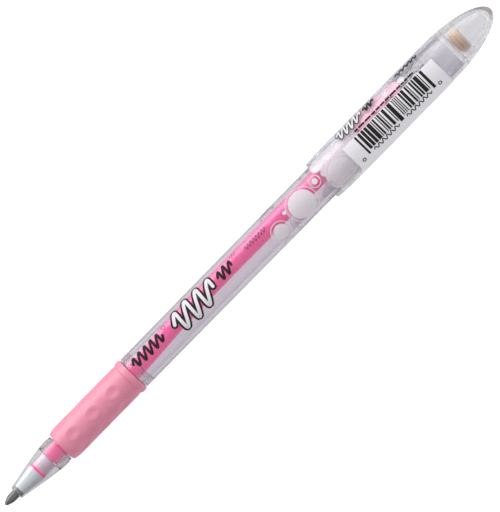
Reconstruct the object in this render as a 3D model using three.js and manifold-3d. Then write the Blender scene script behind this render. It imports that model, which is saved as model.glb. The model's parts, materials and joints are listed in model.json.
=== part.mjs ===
// Capped gel pen with the cap posted on the rear of the barrel.
//
// Units are millimetres. Every piece is first described in the pen's own frame:
// +X runs along the pen to the cap from x = 0 at the centre of the writing ball,
// radii are measured from that axis, and the pocket clip is on the -Z side. The finished
// pen is then laid down the way it rests on a table: on the front of the grip
// and on the flat outer face of the clip, so its nose points slightly down.

import * as THREE from 'three';
import { mergeVertices } from 'three/addons/utils/BufferGeometryUtils.js';
import Module from 'manifold-3d';

const wasm = await Module();
wasm.setup();

// ---- roundness ------------------------------------------------------------------------------
const WIDE = 36; // facets round the pieces that are gripped
const FINE = 24; // facets round the refill and its point

// ---- writing ball and metal point -----------------------------------------------------------
const BALL_R = 0.4;
const BALL_PLAY = 0.04;
const POINT_R = 1.04;
const POINT_CONE_END = 1.6;
const POINT_LIP_WALL = 0.045;
const SHOULDER_START = 3.3;
const SHOULDER_END = 4.3;
const SHOULDER_R = 1.38;
const STUB_R = 0.86;
const STUB_END = 7.2;
const POINT_BORE_R = 0.45;
const POINT_THROAT_R = 0.19;

// ---- tip holder, refill tube, ink and follower ----------------------------------------------
const HOLDER_START = 4.38;
const HOLDER_FRONT_R = 1.44;
const HOLDER_END = 10.0;
const HOLDER_REAR_R = 2.2;
const HOLDER_CHANNEL_R = 0.6;
const SPIGOT_END = 14.0;
const TUBE_START = 10.15;
const TUBE_END = 134.4;
const TUBE_R = 1.975;
const TUBE_BORE_R = 1.35;
const INK_START = 14.1;
const INK_END = 127.7;
const FOLLOWER_START = 127.85;
const FOLLOWER_END = 132.4;
const FILL_R = 1.29; // anything that fills the tube's bore
const MENISCUS = 0.7;
const LEAN_PIVOT = 8.0; // the refill leans on the bore from its seat in the nose
const LEAN = THREE.MathUtils.degToRad(0.55);

// ---- nose cone ------------------------------------------------------------------------------
const NOSE_START = 3.2;
const NOSE_END = 17.3;
const NOSE_FRONT_R = 1.63;
const NOSE_REAR_R = 3.57;
const NOSE_SWELL_END = 15.1;
const NOSE_SWELL = 1.2;
const NOSE_HOLE_R = 1.27;
const NOSE_SEAT_R = 1.54;
const NOSE_SEAT_REAR_R = 2.33;
const NOSE_THREAD_R = 3.08;
const NOSE_THREAD_START = 13.95;
const NOSE_FLANGE_END = 16.5;
const NOSE_GROOVE_R = 3.47;

// ---- grip core: thread, neck under the grip, spigot in the barrel ---------------------------
const CORE_START = 14.25;
const CORE_BORE_R = 2.45;
const THREAD_R = 3.0;
const THREAD_ROOT_R = 2.78;
const THREAD_PITCH = 0.8;
const THREAD_TURNS = 4;
const NECK_START = 17.6;
const NECK_R = 3.36;
const SPIGOT_START = 40.7;
const SPIGOT_R = 3.64;
const SPIGOT_TIP = 43.1;
const SPIGOT_CHAMFER = 1.4;

// ---- grip sleeve ----------------------------------------------------------------------------
const GRIP_START = 17.65;
const GRIP_END = 40.45;
const GRIP_R = 4.26;
const GRIP_BORE_R = 3.42;
const GRIP_NOSE_R = 3.66;
const GRIP_ROUND = 2.4;
const BEAD_LENGTH = 2.1;
const BEAD_R = 4.46;
const BEAD_GROOVE = 0.12;
const DIMPLE_STATIONS = [21.8, 28.1, 34.5];
const DIMPLE_ROWS = 6;
const DIMPLE_FIRST_ROW = THREE.MathUtils.degToRad(10);
const DIMPLE_HALF_LENGTH = 1.45;
const DIMPLE_HALF_WIDTH = 1.1;
const DIMPLE_DEPTH = 0.42;

// ---- barrel and its rear plug ---------------------------------------------------------------
const BARREL_START = 40.65;
const BARREL_END = 141.0;
const BARREL_FRONT_R = 4.2;
const BARREL_REAR_R = 4.34;
const BARREL_FULL_AT = 89.0;
const BARREL_BORE_R = 3.3;
const SOCKET_R = 3.7;
const SOCKET_END = 43.3;
const PLUG_START = 137.0;
const PLUG_R = 3.24;
const PLUG_BORE_R = 2.5;
const PLUG_FLANGE_R = 4.17;
const PLUG_FLANGE_START = 141.08;
const PLUG_END = 141.7;
const PLUG_VENT_R = 0.6;

// ---- cap ------------------------------------------------------------------------------------
const CAP_MOUTH = 100.4;
const CAP_MOUTH_R = 5.08;
const CAP_R = 5.34;
const CAP_SWELL_END = 105.5;
const DOME_START = 137.8;
const DOME_R = 5.25;
const DOME_LENGTH = 16.15;
const CAP_BORE_R = 4.62;
const CAP_BORE_END = 139.2;
const CAP_STEP_R = 4.2;
const CAP_STEP_AT = 142.35;
const SEAL_SEAT_R = 2.87;
const SEAL_SEAT_END = 145.15;
const CORE_OUT_R = 2.3;
const CORE_OUT_END = 151.9;

// ---- tip seal inside the cap ----------------------------------------------------------------
const SEAL_START = 142.2;
const SEAL_END = 144.95;
const SEAL_R = 2.78;
const SEAL_ROUND = 0.9;

// ---- printed film label on the cap ----------------------------------------------------------
const LABEL_START = 108.7;
const LABEL_END = 136.8;
const LABEL_R = 5.42;
const LABEL_THICKNESS = 0.1;
const LABEL_FROM = THREE.MathUtils.degToRad(-85);
const LABEL_SWEEP = THREE.MathUtils.degToRad(104);
const LABEL_FACETS = 14;

// ---- how the pen lies, and the clip that it lies on -----------------------------------------
const REST_GRIP_X = GRIP_START + GRIP_ROUND;
const REST_CLIP_X = 120.0;
const REST_CLIP_R = 8.0;
const REST_SLOPE = (REST_CLIP_R - GRIP_R) / (REST_CLIP_X - REST_GRIP_X);
const CLIP_FREE_END = 103.6;
const CLIP_ROOT_END = 140.0;
const CLIP_WIDTH = 5.2;
const CLIP_THICKNESS = 1.25;
const CLIP_CORNER = 0.45;
const BUMP_AT = 106.6;
const BUMP_LENGTH = 4.2;
const BUMP_HEIGHT = 0.5;
const POST_START = 133.4;
const POST_END = 139.7;
const POST_WIDTH = 4.4;
const POST_INNER = 4.0;
const POST_GAP = 0.08;

// ---- colours --------------------------------------------------------------------------------
const CLEAR = 0xe6e4ec;
const PINK = 0xf29dbb;
const INK_PINK = 0xf0509a;
const WHITE = 0xeef0f3;
const STEEL = 0x77767a;
const CARBIDE = 0x9a9ba0;
const TAN = 0xd9b79c;
const GREASE = 0xf3ead9;

const pen = new THREE.Group();
pen.name = 'gel_pen';

function plastic(color, roughness) {
  return new THREE.MeshStandardMaterial({ color, roughness, metalness: 0 });
}

function metal(color, roughness) {
  return new THREE.MeshStandardMaterial({ color, roughness, metalness: 1 });
}

// A body turned about the pen axis from a profile of [x, radius] pairs. The
// profile either starts and ends on the axis or returns to its first pair.
function turned(profile, facets) {
  const points = profile.map(([x, r]) => new THREE.Vector2(r, x));
  const onAxis = profile[0][1] === 0 && profile[profile.length - 1][1] === 0;
  if (!onAxis) {
    points.push(points[0].clone());
  }
  const geometry = new THREE.LatheGeometry(points, facets);
  geometry.rotateZ(-Math.PI / 2);
  return geometry;
}

function asSolid(geometry) {
  const bare = new THREE.BufferGeometry();
  bare.setAttribute('position', geometry.getAttribute('position'));
  bare.setIndex(geometry.getIndex());
  const welded = mergeVertices(bare, 1e-5);
  const index = welded.getIndex().array;
  const faces = [];
  for (let i = 0; i < index.length; i += 3) {
    const [a, b, c] = [index[i], index[i + 1], index[i + 2]];
    if (a !== b && b !== c && c !== a) {
      faces.push(a, b, c);
    }
  }
  return new wasm.Manifold(new wasm.Mesh({
    numProp: 3,
    vertProperties: new Float32Array(welded.getAttribute('position').array),
    triVerts: new Uint32Array(faces),
  }));
}

function asGeometry(solid) {
  const mesh = solid.getMesh();
  const geometry = new THREE.BufferGeometry();
  geometry.setAttribute('position', new THREE.BufferAttribute(mesh.vertProperties, 3));
  geometry.setIndex(new THREE.BufferAttribute(mesh.triVerts, 1));
  geometry.computeVertexNormals();
  return geometry;
}

function addPiece(parent, name, geometry, material) {
  const piece = new THREE.Mesh(geometry, material);
  piece.name = name;
  parent.add(piece);
  return piece;
}

// Points on a quarter of an ellipse, from its start on one axis to the other.
function quarter(centreX, centreR, halfX, halfR, from, steps) {
  const points = [];
  for (let i = 0; i <= steps; i += 1) {
    const angle = from + (i / steps) * (Math.PI / 2);
    points.push([centreX + halfX * Math.cos(angle), centreR + halfR * Math.sin(angle)]);
  }
  return points;
}

// A prism whose outline lies in the pen's XZ plane, centred on y = 0.
function slab(outline, width) {
  const shape = new THREE.Shape(outline.map(([x, z]) => new THREE.Vector2(x, z)));
  const geometry = new THREE.ExtrudeGeometry(shape, {
    depth: width,
    bevelEnabled: false,
    curveSegments: 1,
  });
  geometry.rotateX(Math.PI / 2);
  geometry.translate(0, width / 2, 0);
  return geometry;
}

// ---- refill ---------------------------------------------------------------------------------

function tipBall() {
  return new THREE.SphereGeometry(BALL_R, 16, 12);
}

function pointTip() {
  const cup = BALL_R + BALL_PLAY;
  const lip = BALL_R / 2;
  const lipR = Math.sqrt(cup * cup - lip * lip);
  return turned([
    [-lip, lipR],
    [0, cup],
    [lip, lipR],
    [0.9 * cup, POINT_THROAT_R],
    [0.9, POINT_THROAT_R],
    [1.3, POINT_BORE_R],
    [STUB_END, POINT_BORE_R],
    [STUB_END, STUB_R],
    [SHOULDER_END, STUB_R],
    [SHOULDER_END, SHOULDER_R],
    [SHOULDER_START + 0.2, SHOULDER_R - 0.14],
    [SHOULDER_START, POINT_R],
    [POINT_CONE_END, POINT_R],
    [1.3, 0.95],
    [0.9, 0.82],
    [0.4, 0.65],
    [-lip, lipR + POINT_LIP_WALL],
  ].reverse(), FINE);
}

function tipHolder() {
  return turned([
    [HOLDER_START, STUB_R + 0.06],
    [STUB_END + 0.1, STUB_R + 0.06],
    [STUB_END + 0.5, HOLDER_CHANNEL_R],
    [SPIGOT_END, HOLDER_CHANNEL_R],
    [SPIGOT_END, FILL_R - 0.15],
    [SPIGOT_END - 0.3, FILL_R],
    [HOLDER_END, FILL_R],
    [HOLDER_END, HOLDER_REAR_R],
    [HOLDER_END - 0.5, HOLDER_REAR_R],
    [HOLDER_START, HOLDER_FRONT_R],
  ].reverse(), FINE);
}

function refillTube() {
  return turned([
    [TUBE_START, TUBE_BORE_R],
    [TUBE_END, TUBE_BORE_R],
    [TUBE_END, TUBE_R],
    [TUBE_START, TUBE_R],
  ].reverse(), FINE);
}

// The ink ends in a rounded front of grease at the rear.
function inkColumn() {
  return turned([
    [INK_START, 0],
    [INK_START, FILL_R],
    ...quarter(INK_END - MENISCUS, 0, MENISCUS, FILL_R, 0, 4).reverse().slice(0, -1),
    [INK_END, 0],
  ], FINE);
}

function inkFollower() {
  const hollow = quarter(FOLLOWER_START - MENISCUS, 0, MENISCUS, FILL_R, 0, 4);
  hollow[0][1] = 0;
  return turned([
    ...hollow,
    [FOLLOWER_END, FILL_R],
    [FOLLOWER_END - 0.3, 0],
  ], FINE);
}

function addRefill() {
  const refill = new THREE.Group();
  refill.position.set(LEAN_PIVOT, 0, 0);
  refill.rotation.z = LEAN;
  pen.add(refill);
  const pieces = [
    ['tip_ball', tipBall(), metal(CARBIDE, 0.2)],
    ['point_tip', pointTip(), metal(STEEL, 0.32)],
    ['tip_holder', tipHolder(), plastic(WHITE, 0.45)],
    ['refill_tube', refillTube(), plastic(CLEAR, 0.2)],
    ['ink_column', inkColumn(), plastic(INK_PINK, 0.35)],
    ['ink_follower', inkFollower(), plastic(GREASE, 0.3)],
  ];
  for (const [name, geometry, material] of pieces) {
    geometry.translate(-LEAN_PIVOT, 0, 0);
    addPiece(refill, name, geometry, material);
  }
}

// ---- nose, grip and barrel ------------------------------------------------------------------

function noseRadius(x) {
  const s = (x - NOSE_START) / (NOSE_SWELL_END - NOSE_START);
  return NOSE_FRONT_R + (NOSE_REAR_R - NOSE_FRONT_R) * (1 - (1 - s) ** NOSE_SWELL);
}

function noseCone() {
  const outer = [];
  const steps = 9;
  for (let i = 0; i <= steps; i += 1) {
    const x = NOSE_START + 0.15 + (i / steps) * (NOSE_SWELL_END - NOSE_START - 0.15);
    outer.push([x, noseRadius(x)]);
  }
  return turned([
    [NOSE_START, NOSE_FRONT_R - 0.12],
    ...outer,
    [NOSE_FLANGE_END, NOSE_REAR_R],
    [NOSE_FLANGE_END + 0.3, NOSE_GROOVE_R],
    [NOSE_END, NOSE_GROOVE_R],
    [NOSE_END, NOSE_THREAD_R],
    [NOSE_THREAD_START, NOSE_THREAD_R],
    [NOSE_THREAD_START - 0.1, NOSE_SEAT_REAR_R + 0.12],
    [HOLDER_END - 0.4, NOSE_SEAT_REAR_R],
    [HOLDER_START - 0.1, NOSE_SEAT_R],
    [SHOULDER_START + 0.4, NOSE_SEAT_R - 0.02],
    [SHOULDER_START + 0.15, NOSE_HOLE_R + 0.12],
    [NOSE_START, NOSE_HOLE_R],
  ], WIDE);
}

function gripCore() {
  const thread = [];
  for (let i = 0; i < THREAD_TURNS; i += 1) {
    const x = CORE_START + 0.1 + i * THREAD_PITCH;
    thread.push([x, THREAD_ROOT_R]);
    thread.push([x + 0.25 * THREAD_PITCH, THREAD_R]);
    thread.push([x + 0.5 * THREAD_PITCH, THREAD_R]);
    thread.push([x + 0.75 * THREAD_PITCH, THREAD_ROOT_R]);
  }
  return turned([
    [CORE_START, THREAD_ROOT_R - 0.08],
    ...thread,
    [NECK_START, THREAD_ROOT_R],
    [NECK_START, NECK_R],
    [SPIGOT_START, NECK_R],
    [SPIGOT_START, SPIGOT_R],
    [SPIGOT_TIP - 0.3, SPIGOT_R],
    [SPIGOT_TIP, SPIGOT_R - 0.15],
    [SPIGOT_TIP - SPIGOT_CHAMFER, CORE_BORE_R],
    [CORE_START, CORE_BORE_R],
  ], WIDE);
}

function gripProfile() {
  const flat = GRIP_END - BEAD_LENGTH;
  const beadMiddle = flat + 0.35 + (BEAD_LENGTH - 0.35) / 2;
  const beadHalf = (BEAD_LENGTH - 0.35) / 2;
  const bead = [];
  for (let i = 0; i <= 6; i += 1) {
    const angle = Math.PI * (1 - i / 6);
    const swell = (BEAD_R - GRIP_R + 0.25) * Math.sin(angle);
    bead.push([beadMiddle + beadHalf * Math.cos(angle), GRIP_R - 0.25 + swell]);
  }
  const round = quarter(
    GRIP_START + GRIP_ROUND, GRIP_NOSE_R, -GRIP_ROUND, GRIP_R - GRIP_NOSE_R, 0, 5,
  );
  return [
    ...round,
    [flat - 0.4, GRIP_R],
    [flat, GRIP_R - BEAD_GROOVE],
    ...bead,
    [GRIP_END, GRIP_BORE_R],
    [GRIP_START, GRIP_BORE_R],
  ];
}

function gripSleeve() {
  const dimple = new THREE.SphereGeometry(1, 14, 10);
  dimple.scale(DIMPLE_HALF_LENGTH, DIMPLE_HALF_WIDTH, DIMPLE_DEPTH);
  dimple.translate(0, 0, GRIP_R);
  let sleeve = asSolid(turned(gripProfile(), WIDE));
  for (const x of DIMPLE_STATIONS) {
    for (let row = 0; row < DIMPLE_ROWS; row += 1) {
      const cutter = dimple.clone();
      cutter.rotateX(-DIMPLE_FIRST_ROW - (row * 2 * Math.PI) / DIMPLE_ROWS);
      cutter.translate(x, 0, 0);
      sleeve = sleeve.subtract(asSolid(cutter));
    }
  }
  return asGeometry(sleeve);
}

function barrel() {
  return turned([
    [BARREL_START, BARREL_FRONT_R - 0.1],
    [BARREL_START + 0.1, BARREL_FRONT_R],
    [BARREL_FULL_AT, BARREL_REAR_R],
    [BARREL_END - 0.3, BARREL_REAR_R],
    [BARREL_END, BARREL_REAR_R - 0.2],
    [BARREL_END, BARREL_BORE_R],
    [SOCKET_END + 0.2, BARREL_BORE_R],
    [SOCKET_END, SOCKET_R],
    [BARREL_START, SOCKET_R],
  ], WIDE);
}

function rearPlug() {
  return turned([
    [PLUG_START, PLUG_R - 0.15],
    [PLUG_START + 0.3, PLUG_R],
    [PLUG_FLANGE_START, PLUG_R],
    [PLUG_FLANGE_START, PLUG_FLANGE_R],
    [PLUG_END - 0.15, PLUG_FLANGE_R],
    [PLUG_END, PLUG_FLANGE_R - 0.2],
    [PLUG_END, PLUG_VENT_R],
    [PLUG_FLANGE_START, PLUG_VENT_R],
    [PLUG_FLANGE_START, PLUG_BORE_R],
    [PLUG_START, PLUG_BORE_R],
  ], WIDE);
}

// ---- cap ------------------------------------------------------------------------------------

function capOutside() {
  const dome = quarter(DOME_START, 0, DOME_LENGTH, DOME_R, 0, 9).reverse();
  dome[dome.length - 1][1] = 0;
  return turned([
    [CAP_MOUTH, 0],
    [CAP_MOUTH, CAP_MOUTH_R - 0.15],
    [CAP_MOUTH + 0.2, CAP_MOUTH_R],
    [CAP_MOUTH + 1.8, (CAP_MOUTH_R + CAP_R) / 2],
    [CAP_SWELL_END, CAP_R],
    [LABEL_END - 1.0, CAP_R],
    ...dome,
  ], WIDE);
}

function capInside() {
  const end = quarter(CORE_OUT_END - 1.2, 0, 1.2, CORE_OUT_R - 0.4, 0, 3).reverse();
  end[end.length - 1][1] = 0;
  return turned([
    [CAP_MOUTH - 1, 0],
    [CAP_MOUTH - 1, CAP_BORE_R],
    [CAP_BORE_END, CAP_BORE_R],
    [CAP_STEP_AT, CAP_STEP_R],
    [CAP_STEP_AT, SEAL_SEAT_R],
    [SEAL_SEAT_END, SEAL_SEAT_R],
    [SEAL_SEAT_END, CORE_OUT_R],
    ...end,
  ], WIDE);
}

// Height of the table below the pen axis, seen from the pen's own frame.
function tableDepth(x) {
  return GRIP_R + (x - REST_GRIP_X) * REST_SLOPE;
}

function clipPost() {
  const top = (x) => -(tableDepth(x) - CLIP_THICKNESS - POST_GAP);
  return slab([
    [POST_START, -POST_INNER],
    [POST_START, top(POST_START)],
    [POST_END, top(POST_END)],
    [POST_END, -POST_INNER],
  ], POST_WIDTH);
}

function capShell() {
  return asGeometry(asSolid(capOutside()).add(asSolid(clipPost())).subtract(asSolid(capInside())));
}

function pocketClip() {
  const inner = (x) => -(tableDepth(x) - CLIP_THICKNESS);
  const outer = (x) => -tableDepth(x);
  const bump = [];
  const steps = 6;
  for (let i = 0; i <= steps; i += 1) {
    const x = BUMP_AT + BUMP_LENGTH * (0.5 - i / steps);
    bump.push([x, inner(x) + BUMP_HEIGHT * Math.sin((Math.PI * i) / steps)]);
  }
  return slab([
    [CLIP_FREE_END + CLIP_CORNER, outer(CLIP_FREE_END + CLIP_CORNER)],
    [CLIP_ROOT_END - CLIP_CORNER, outer(CLIP_ROOT_END - CLIP_CORNER)],
    [CLIP_ROOT_END, outer(CLIP_ROOT_END) + CLIP_CORNER],
    [CLIP_ROOT_END, inner(CLIP_ROOT_END)],
    ...bump,
    [CLIP_FREE_END, inner(CLIP_FREE_END)],
    [CLIP_FREE_END, outer(CLIP_FREE_END) + CLIP_CORNER],
  ], CLIP_WIDTH);
}

function tipSeal() {
  return turned([
    [SEAL_START, 0],
    [SEAL_START, SEAL_R - SEAL_ROUND],
    ...quarter(
      SEAL_START + SEAL_ROUND, SEAL_R - SEAL_ROUND, -SEAL_ROUND, SEAL_ROUND, 0, 3,
    ).slice(1),
    [SEAL_END, SEAL_R],
    [SEAL_END, 0],
  ], WIDE);
}

function capLabel() {
  const outline = [];
  for (let i = 0; i <= LABEL_FACETS; i += 1) {
    const angle = LABEL_FROM + (LABEL_SWEEP * i) / LABEL_FACETS;
    outline.push([angle, LABEL_R + LABEL_THICKNESS]);
  }
  for (let i = LABEL_FACETS; i >= 0; i -= 1) {
    const angle = LABEL_FROM + (LABEL_SWEEP * i) / LABEL_FACETS;
    outline.push([angle, LABEL_R]);
  }
  const shape = new THREE.Shape(
    outline.map(([angle, r]) => new THREE.Vector2(r * Math.sin(angle), r * Math.cos(angle))),
  );
  const geometry = new THREE.ExtrudeGeometry(shape, {
    depth: LABEL_END - LABEL_START,
    bevelEnabled: false,
    curveSegments: 1,
  });
  // The extrusion runs along +Z: turn it along the pen, with the film's middle on top.
  geometry.applyMatrix4(new THREE.Matrix4().set(
    0, 0, 1, LABEL_START,
    1, 0, 0, 0,
    0, 1, 0, 0,
    0, 0, 0, 1,
  ));
  return geometry;
}

// ---- the whole pen --------------------------------------------------------------------------

addRefill();
addPiece(pen, 'nose_cone', noseCone(), plastic(CLEAR, 0.15));
addPiece(pen, 'grip_core', gripCore(), plastic(CLEAR, 0.15));
addPiece(pen, 'grip_sleeve', gripSleeve(), plastic(PINK, 0.75));
addPiece(pen, 'barrel', barrel(), plastic(CLEAR, 0.12));
addPiece(pen, 'rear_plug', rearPlug(), plastic(CLEAR, 0.2));
addPiece(pen, 'cap_shell', capShell(), plastic(CLEAR, 0.12));
addPiece(pen, 'pocket_clip', pocketClip(), plastic(CLEAR, 0.12));
addPiece(pen, 'tip_seal', tipSeal(), plastic(TAN, 0.8));
addPiece(pen, 'cap_label', capLabel(), plastic(WHITE, 0.5));

// Lay the pen on the table, centred over the origin.
pen.rotation.y = -Math.atan(REST_SLOPE);
pen.updateMatrixWorld(true);
const extent = new THREE.Box3().setFromObject(pen, true);
pen.position.set(
  -(extent.min.x + extent.max.x) / 2,
  -(extent.min.y + extent.max.y) / 2,
  -extent.min.z,
);
pen.updateMatrixWorld(true);

export default pen;
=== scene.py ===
"""Looks of the gel pen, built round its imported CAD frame. Lengths are millimetres in the pen's
own frame unless a name ends in _M: x runs along the pen to the cap from 0 at the centre of the
writing ball, and angles go round it from the top (+Z) towards the pen's +Y side."""
import json
import math
import random

import bmesh
import bpy
from mathutils import Matrix, Vector


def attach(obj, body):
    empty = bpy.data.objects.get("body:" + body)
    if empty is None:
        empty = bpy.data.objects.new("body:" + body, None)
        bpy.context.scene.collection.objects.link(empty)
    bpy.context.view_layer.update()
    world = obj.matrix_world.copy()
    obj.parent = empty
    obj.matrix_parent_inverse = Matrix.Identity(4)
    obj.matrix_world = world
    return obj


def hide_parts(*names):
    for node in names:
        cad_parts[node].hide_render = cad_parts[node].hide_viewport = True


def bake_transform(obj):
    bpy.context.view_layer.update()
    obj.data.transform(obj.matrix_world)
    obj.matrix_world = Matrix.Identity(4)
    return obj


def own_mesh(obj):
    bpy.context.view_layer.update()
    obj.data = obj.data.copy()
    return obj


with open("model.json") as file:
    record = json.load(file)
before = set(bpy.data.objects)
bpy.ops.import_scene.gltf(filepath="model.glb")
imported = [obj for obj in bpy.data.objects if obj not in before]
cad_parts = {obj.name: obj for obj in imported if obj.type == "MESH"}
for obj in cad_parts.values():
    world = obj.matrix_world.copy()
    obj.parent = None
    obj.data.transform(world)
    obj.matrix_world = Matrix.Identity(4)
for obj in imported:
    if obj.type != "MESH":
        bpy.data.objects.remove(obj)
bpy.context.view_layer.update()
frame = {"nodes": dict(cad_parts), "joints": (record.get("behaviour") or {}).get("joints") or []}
JOINTS = {joint["name"]: joint for joint in frame["joints"]}

MM = 0.001
TAU = 2 * math.pi
QUARTER = math.pi / 2

# ---- facets of the fine meshes ----
ROUND = 128  # round the shells
ROUND_GRIP = 192
ROUND_FINE = 96  # round the refill
ROUND_BALL = 48
FILLET_STEPS = 5
FEW_FILLET_STEPS = 4
LONG_STEP = 1.5  # between stations where a long piece bows
CORNER_SHARE = 0.49  # the most of a side that one corner's rounding takes
SHARP = math.radians(35)  # edges sharper than this are not smoothed
DISC_RINGS = 6
DISC_FACETS = 24  # for each millimetre of radius
DISC_LEAST = 20
LINE_END_STEPS = 8
WAVE_STEPS = 90

# ---- refill ----
BALL_R = 0.4
POINT_R = 1.04
POINT_LIP_R = 0.437
POINT_CUP_R = 0.44
POINT_CUP_EDGE_R = 0.392
POINT_CUP_DEPTH = 0.9 * POINT_CUP_R
POINT_THROAT_R = 0.19
POINT_THROAT_END = 0.9
POINT_BORE_R = 0.45
POINT_BORE_START = 1.3
POINT_CONE = 1.5
POINT_CONE_SWELL = 1.15
POINT_CONE_SHARES = (0.0, 0.15, 0.3, 0.45, 0.6, 0.75, 0.88)
SHOULDER_STEP = 3.3
SHOULDER_END = 4.3
STUB_R = 0.86
STUB_GAP = 0.06
HOLDER_FRONT_R = 1.44
HOLDER_REAR_R = 2.2
HOLDER_BORE_END = 7.3
HOLDER_CONE_END = 10.0
HOLDER_OVERLAP = 0.02  # how far the spigot reaches into the cone
CHANNEL_START = 7.7
CHANNEL_R = 0.6
TUBE_BORE_R = 1.35
TUBE_EDGE = 0.1
WETTING = 0.015  # the spigot and the ink touch the tube all round, so their surfaces are one
WET_R = TUBE_BORE_R + WETTING
# A pink ring round the tube's front end paints the ink's refraction in its end face.
PAINTED_RING_LENGTH = 0.4
PAINTED_RING_R = 2.1
PAINTED_RING_REAR_R = 1.99
INK_END = 1.1  # length of the ink's round end
GREASE_GAP = 0.02
GREASE_HOLLOW = 0.75  # how far the plug's front is hollowed by the ink's round end
GREASE_DIP = 1.0
BOW = 0.75  # how far the flexible tube bows off its straight line
BOW_START = 41.0
BOW_FULL = 61.0
BOW_END = 127.0

# ---- nose and grip core ----
NOSE_FRONT_R = 1.63
NOSE_SWELL = 1.2
NOSE_FLANGE_START = 15.1
NOSE_FLANGE_END = 16.5
NOSE_GROOVE = 0.1
NOSE_HOLE_R = 1.27
NOSE_HOLE_END = 3.4
NOSE_SEAT_R = 1.54
NOSE_SEAT_START = 3.6
NOSE_SEAT_CONE = 4.28
NOSE_SEAT_REAR_R = 2.33
NOSE_SEAT_REAR = 9.6
NOSE_THREAD_R = 3.1
NOSE_THREAD_WAVE = 0.09
NOSE_THREAD_STEP = 0.1
THREAD_START = 14.0
THREAD_PITCH = 0.8
THREAD_DEPTH = 0.2
THREAD_R = 3.0
THREAD_ROOT_R = THREAD_R - THREAD_DEPTH
THREAD_FROM = 0.15  # the core's thread, from the core's front end
THREAD_TO = 3.2
THREAD_FADE = 0.5
THREAD_STEP = 0.08
CORE_BORE_R = 2.45
NECK_R = 3.36
NECK_LEAD = 0.05  # how far the neck reaches past the sleeve's ends
NECK_TAIL = 0.25
SPIGOT_R = 3.64
SPIGOT_CHAMFER = 1.4

# ---- grip sleeve ----
GRIP_R = 4.22  # the dimples' rims swell it to its full size
GRIP_BORE_R = 3.42
GRIP_FRONT_R = 3.66
GRIP_ROUND = 2.4
GRIP_STEP = 0.12
BEAD_LENGTH = 2.05
BEAD_FOOT = 0.1  # how far the bead's foot lies under the sleeve's surface
DIMPLED_LENGTH = 20.0
DIMPLES_AT = (4.15, 10.45, 16.85)  # from the sleeve's front end
DIMPLE_ROWS = 6
DIMPLE_TURN = math.radians(5)
DIMPLE_LENGTH = 1.75
DIMPLE_WIDTH = 1.35
DIMPLE_DEPTH = 0.3
DIMPLE_RIM = 0.035
RIM_AT = 1.1  # the rim's place, width and reach, in sizes of the dimple
RIM_WIDTH = 0.22
RIM_REACH = 1.6

# ---- barrel ----
BARREL_FRONT_R = 4.2
BARREL_FULL_AT = 89.0
BORE_R = 3.3
PLUG_BORE_R = 2.5
PLUG_SPIGOT_R = 3.24
PLUG_FLANGE = 0.62
PLUG_VENT_R = 0.6

# ---- cap and clip ----
CAP_MOUTH_R = 5.08
CAP_R = 5.34
CAP_SWELL = 5.1
DOME_LENGTH = 16.15
DOME_R = 5.25
DOME_STEPS = 40
CAP_BORE_R = 4.62
CAP_STEP_R = 4.2
SEAT_GAP = 0.09
CORE_OUT_R = 2.3
CORE_OUT_ROUND_R = 1.95
CORE_OUT_ROUND = 2.4
CORE_OUT_END_GAP = 2.06
SEAL_RIBS_AT = (1.45, 2.15)  # fine grooves round the seal, from its front face
SEAL_RIB_DEPTH = 0.07
CLIP_THICK = 1.25
CLIP_ROOT_LENGTH = 7.0
CLIP_ROOT_SWEEP = 2.5
CLIP_ROOT_DEPTH = 0.35  # how far the root grows into the cap's wall
CLIP_EDGE = 0.3
CLIP_BUMP = 0.5
CLIP_BUMP_AT = 3.0
CLIP_BUMP_LENGTH = 1.3
CLIP_STEP = 0.35
TABLE_GAP = 0.01  # keeps the clip just off the table it lies on

# ---- print: lengths round the pen are measured on its surface, from the top ----
FILM = 0.03
FILM_LIFT = 0.012
RIBBON = (54.8, 66.9, 0.95, 2.7, 3.5, 0.75)  # as wave_path takes them
RIBBON_WIDTHS = (1.7, 0.78)  # black edge, white middle
RIPPLES = (  # wave, width of its line
    ((42.1, 51.3, 1.4, 1.35, 5.0, 0.35), 0.62),
    ((69.0, 73.2, 1.5, 1.25, 2.5, 0.35), 0.6),
)
SMALL_RIPPLES = (
    ((74.0, 75.5, 2.85, 0.35, 2.5, 0.0), 0.11),
    ((77.7, 84.3, 1.75, 0.62, 7.5, 0.1), 0.17),
)
SMALL_RING = (52.5, 2.55, 0.58, 0.46)  # x, place round the pen, radius, radius of its hole
FRONT_BUBBLES = (  # x, place round the pen, radius, whether it has a ring
    (93.8, -0.45, 3.3, True),
    (86.2, -1.5, 1.8, True),
    (99.3, 1.15, 0.72, True),
    (89.6, 1.05, 0.46, False),
    (101.8, 3.6, 1.6, False),
    (105.2, -1.6, 3.1, True),
    (105.2, 2.9, 0.7, False),
    (102.0, -0.6, 0.5, False),
)
PINK_BUBBLES = ((116.6, 3.5, 2.6), (121.3, 3.7, 2.1), (126.0, 3.3, 1.8))
SPREAD_BUBBLES = ((2.6, 7), (1.5, 14), (0.8, 22), (0.4, 26))  # radius, how many
SPREAD_START = 84.5
SPREAD_END = 134.0
SPREAD_TRIES = 12  # for each bubble wanted
SPREAD_GAP = 0.9
RINGED_FROM = 1.0  # radius of the smallest spread bubble with a ring
INK_WINDOW_END = 102.0  # in front of it, only the front bubbles cover the ink
INK_WINDOW = 6.0
BUBBLE_RING = (0.75, 0.57)  # outer and inner edge, from the bubble's edge
GLINT_OUT = 0.32
GLINT_WIDTH = 0.16
GLINT_START = 2.2
GLINT_SWEEP = 1.6
HAZE_START = 101.9
HAZE_END = 113.6
HAZE_WAVE = 0.55
HAZE_TURNS = 7
HAZE_SHARE = 0.49  # of the girth, to each side
CROSS_STEP = 0.4
LABEL_THICK = 0.06
LABEL_STEP = 0.25
LABEL_MARGIN = 3.5
BAR_MODULE = 0.24
BAR_WIDTHS = (1, 2, 2, 3, 4)
BAR_GAPS = (1, 1, 1, 2)
BAR_LENGTH = 4.7
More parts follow.
